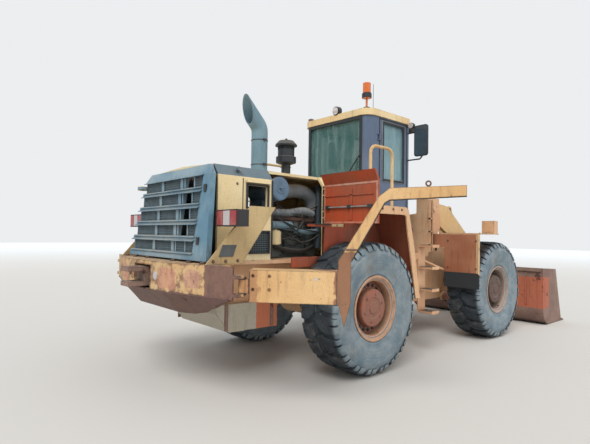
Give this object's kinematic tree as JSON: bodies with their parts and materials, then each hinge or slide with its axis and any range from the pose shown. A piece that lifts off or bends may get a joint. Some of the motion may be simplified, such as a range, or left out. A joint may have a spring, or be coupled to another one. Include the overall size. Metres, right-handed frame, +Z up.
{
  "type": "wheel loader",
  "caption": "Articulated wheel loader with boom, bucket and bell-crank linkage, cab, open engine bay, swing-out rear fender and hinged grille.",
  "frame": {"origin": "on the ground under the articulation pins, midway between the axles, on the centre plane", "axes": "+X forward, +Y to the machine's left, +Z up"},
  "size_m": [7.95, 3.979, 3.6325],
  "materials": {
    "yellow_paint": "faded ochre yellow paint with rust chips and dust",
    "peach_paint": "sun-faded orange yellow paint, chalky",
    "orange_paint": "orange red primer and paint, worn",
    "blue_grey_paint": "grey blue paint, scuffed",
    "cab_paint": "dark blue grey paint, dusty",
    "dark_steel": "dark greasy paint over steel",
    "rusty_steel": "scoured and rusty steel",
    "rod_steel": "plated rod, dull",
    "cast_engine": "grey green engine paint with oil dust",
    "tyre_rubber": "dusty grey black rubber",
    "glass_pane": "dusty tinted glass",
    "lamp_red": "red and white lamp lens in a dark housing",
    "beacon_orange": "orange lens",
    "seat_fabric": "dark seat cover",
    "black_plastic": "dark plastic"
  },
  "bodies": {
    "rear": {"rear_frame": "peach_paint", "counterweight": "yellow_paint", "tow_hitch": "yellow_paint", "rear_axle": "peach_paint", "belly_tank": "orange_paint", "engine_block": "cast_engine", "radiator": "dark_steel", "hood": "yellow_paint", "air_filter": "blue_grey_paint", "exhaust_stack": "blue_grey_paint", "precleaner": "black_plastic", "rear_fender_right": "orange_paint", "rear_fender_left": "orange_paint", "tail_lamp_right": "yellow_paint", "tail_lamp_left": "yellow_paint", "ladder_right": "peach_paint", "ladder_left": "peach_paint", "handrail_right": "yellow_paint", "handrail_left": "yellow_paint", "cab_shell": "cab_paint", "cab_roof": "yellow_paint", "cab_glass": "glass_pane", "driver_seat": "seat_fabric", "steering_console": "black_plastic", "beacon": "beacon_orange"},
    "front": {"front_frame": "peach_paint", "front_axle": "peach_paint", "front_fender_right": "yellow_paint", "front_fender_left": "yellow_paint"},
    "boom": {"boom": "yellow_paint"},
    "bucket": {"bucket": "rusty_steel"},
    "crank": {"bell_crank": "yellow_paint"},
    "link": {"tilt_link": "yellow_paint"},
    "lift_cylinders": {"lift_cylinders": "yellow_paint"},
    "lift_rods": {"lift_rods": "rod_steel"},
    "tilt_cylinder": {"tilt_cylinder": "yellow_paint"},
    "tilt_rod": {"tilt_rod": "rod_steel"},
    "grille": {"rear_grille": "blue_grey_paint"},
    "steering_cylinder_right": {"steering_cylinder_right": "yellow_paint"},
    "steering_rod_right": {"steering_rod_right": "rod_steel"},
    "fender_right": {"swing_fender_right": "yellow_paint"},
    "engine_door_right": {"engine_door_right": "orange_paint"},
    "cab_door_right": {"cab_door_right": "cab_paint", "door_glass_right": "glass_pane"},
    "wheel_rear_right": {"tyre_rear_right": "tyre_rubber", "rim_rear_right": "orange_paint"},
    "wheel_front_right": {"tyre_front_right": "tyre_rubber", "rim_front_right": "orange_paint"},
    "steering_cylinder_left": {"steering_cylinder_left": "yellow_paint"},
    "steering_rod_left": {"steering_rod_left": "rod_steel"},
    "fender_left": {"swing_fender_left": "yellow_paint"},
    "engine_door_left": {"engine_door_left": "orange_paint"},
    "cab_door_left": {"cab_door_left": "cab_paint", "door_glass_left": "glass_pane"},
    "wheel_rear_left": {"tyre_rear_left": "tyre_rubber", "rim_rear_left": "orange_paint"},
    "wheel_front_left": {"tyre_front_left": "tyre_rubber", "rim_front_left": "orange_paint"}
  },
  "joints": [
    {"name": "articulation", "type": "hinge", "parent": "rear", "child": "front", "pos_m": [0, 0, 0.77], "axis": [0, 0, 1], "range_deg": [-38, 38]},
    {"name": "wheel_rear_right", "type": "hinge", "parent": "rear", "child": "wheel_rear_right", "pos_m": [-1.515, -1.0245, 0.7465], "axis": [0, 1, 0], "continuous": true},
    {"name": "wheel_rear_left", "type": "hinge", "parent": "rear", "child": "wheel_rear_left", "pos_m": [-1.515, 1.0245, 0.7465], "axis": [0, 1, 0], "continuous": true},
    {"name": "wheel_front_right", "type": "hinge", "parent": "front", "child": "wheel_front_right", "pos_m": [1.515, -1.0245, 0.7465], "axis": [0, 1, 0], "continuous": true},
    {"name": "wheel_front_left", "type": "hinge", "parent": "front", "child": "wheel_front_left", "pos_m": [1.515, 1.0245, 0.7465], "axis": [0, 1, 0], "continuous": true},
    {"name": "boom_lift", "type": "hinge", "parent": "front", "child": "boom", "pos_m": [0.7, 0, 2], "axis": [0, -1, 0], "range_deg": [0, 79]},
    {"name": "bucket_tilt", "type": "hinge", "parent": "boom", "child": "bucket", "pos_m": [2.9, 0, 0.34], "axis": [0, 1, 0], "range_deg": [-43, 122]},
    {"name": "crank_turn", "type": "hinge", "parent": "boom", "child": "crank", "pos_m": [2.15, 0, 1.29], "axis": [0, -1, 0], "range_deg": [-9.1, 24.9]},
    {"name": "link_turn", "type": "hinge", "parent": "crank", "child": "link", "pos_m": [2.48, 0, 0.46], "axis": [0, -1, 0], "range_deg": [-86.51, 30.82]},
    {"name": "lift_cylinder_swing", "type": "hinge", "parent": "front", "child": "lift_cylinders", "pos_m": [0.85, 0, 1.45], "axis": [0, -1, 0], "range_deg": [-0.5, 78.27]},
    {"name": "lift_rod_slide", "type": "slide", "parent": "lift_cylinders", "child": "lift_rods", "axis": [0.9318, 0, -0.3629], "range_m": [-0.005, 0.7297]},
    {"name": "tilt_cylinder_swing", "type": "hinge", "parent": "front", "child": "tilt_cylinder", "pos_m": [0.65, 0, 1.78], "axis": [0, -1, 0], "range_deg": [-0.5, 69.91]},
    {"name": "tilt_rod_slide", "type": "slide", "parent": "tilt_cylinder", "child": "tilt_rod", "axis": [0.9843, 0, 0.1765], "range_m": [-0.3093, 0.1123]},
    {"name": "steering_cylinder_right_swing", "type": "hinge", "parent": "rear", "child": "steering_cylinder_right", "pos_m": [-0.7, -0.3, 0.77], "axis": [0, 0, 1], "range_deg": [-8.92, 8.92]},
    {"name": "steering_rod_right_slide", "type": "slide", "parent": "steering_cylinder_right", "child": "steering_rod_right", "axis": [1, 0, 0], "range_m": [-0.201, 0.201]},
    {"name": "steering_cylinder_left_swing", "type": "hinge", "parent": "rear", "child": "steering_cylinder_left", "pos_m": [-0.7, 0.3, 0.77], "axis": [0, 0, 1], "range_deg": [-8.92, 8.92]},
    {"name": "steering_rod_left_slide", "type": "slide", "parent": "steering_cylinder_left", "child": "steering_rod_left", "axis": [1, 0, 0], "range_m": [-0.201, 0.201]},
    {"name": "grille_door", "type": "hinge", "parent": "rear", "child": "grille", "pos_m": [-3.4, 0.8, 1.7], "axis": [0, 0, -1], "range_deg": [0, 100]},
    {"name": "fender_right_swing", "type": "hinge", "parent": "rear", "child": "fender_right", "pos_m": [-3.36, -1.285, 1.12], "axis": [0, 0, 1], "range_deg": [0, 47.6]},
    {"name": "fender_left_swing", "type": "hinge", "parent": "rear", "child": "fender_left", "pos_m": [-3.36, 1.285, 1.12], "axis": [0, 0, 1], "range_deg": [0, 47.6]},
    {"name": "engine_door_right_swing", "type": "hinge", "parent": "rear", "child": "engine_door_right", "pos_m": [-1.856, -0.775, 1.9], "axis": [0, 0, -1], "range_deg": [0, 90.3]},
    {"name": "engine_door_left_swing", "type": "hinge", "parent": "rear", "child": "engine_door_left", "pos_m": [-1.856, 0.775, 1.9], "axis": [0, 0, -1], "range_deg": [0, 90.3]},
    {"name": "cab_door_right_swing", "type": "hinge", "parent": "rear", "child": "cab_door_right", "pos_m": [-0.688, -0.634, 2.4], "axis": [0, 0, -1], "range_deg": [0, 90]},
    {"name": "cab_door_left_swing", "type": "hinge", "parent": "rear", "child": "cab_door_left", "pos_m": [-0.688, 0.634, 2.4], "axis": [0, 0, 1], "range_deg": [0, 90]}
  ],
  "couplings": [
    {"joint": "crank_turn", "follows": "bucket_tilt", "ratio": 0.2},
    {"joint": "link_turn", "follows": "bucket_tilt", "ratio": -0.705},
    {"joint": "lift_cylinder_swing", "follows": "boom_lift", "ratio": 0.9844},
    {"joint": "lift_rod_slide", "follows": "boom_lift", "m_per_rad": 0.52558},
    {"joint": "tilt_cylinder_swing", "follows": "boom_lift", "ratio": 0.87857},
    {"joint": "tilt_rod_slide", "follows": "bucket_tilt", "m_per_rad": -0.14293},
    {"joint": "steering_cylinder_right_swing", "follows": "articulation", "ratio": 0.22147},
    {"joint": "steering_rod_right_slide", "follows": "articulation", "m_per_rad": 0.29549},
    {"joint": "steering_cylinder_left_swing", "follows": "articulation", "ratio": 0.22147},
    {"joint": "steering_rod_left_slide", "follows": "articulation", "m_per_rad": -0.29549},
    {"joint": "engine_door_right_swing", "follows": "fender_right_swing", "ratio": 1.8908},
    {"joint": "engine_door_left_swing", "follows": "fender_left_swing", "ratio": 1.8908}
  ]
}
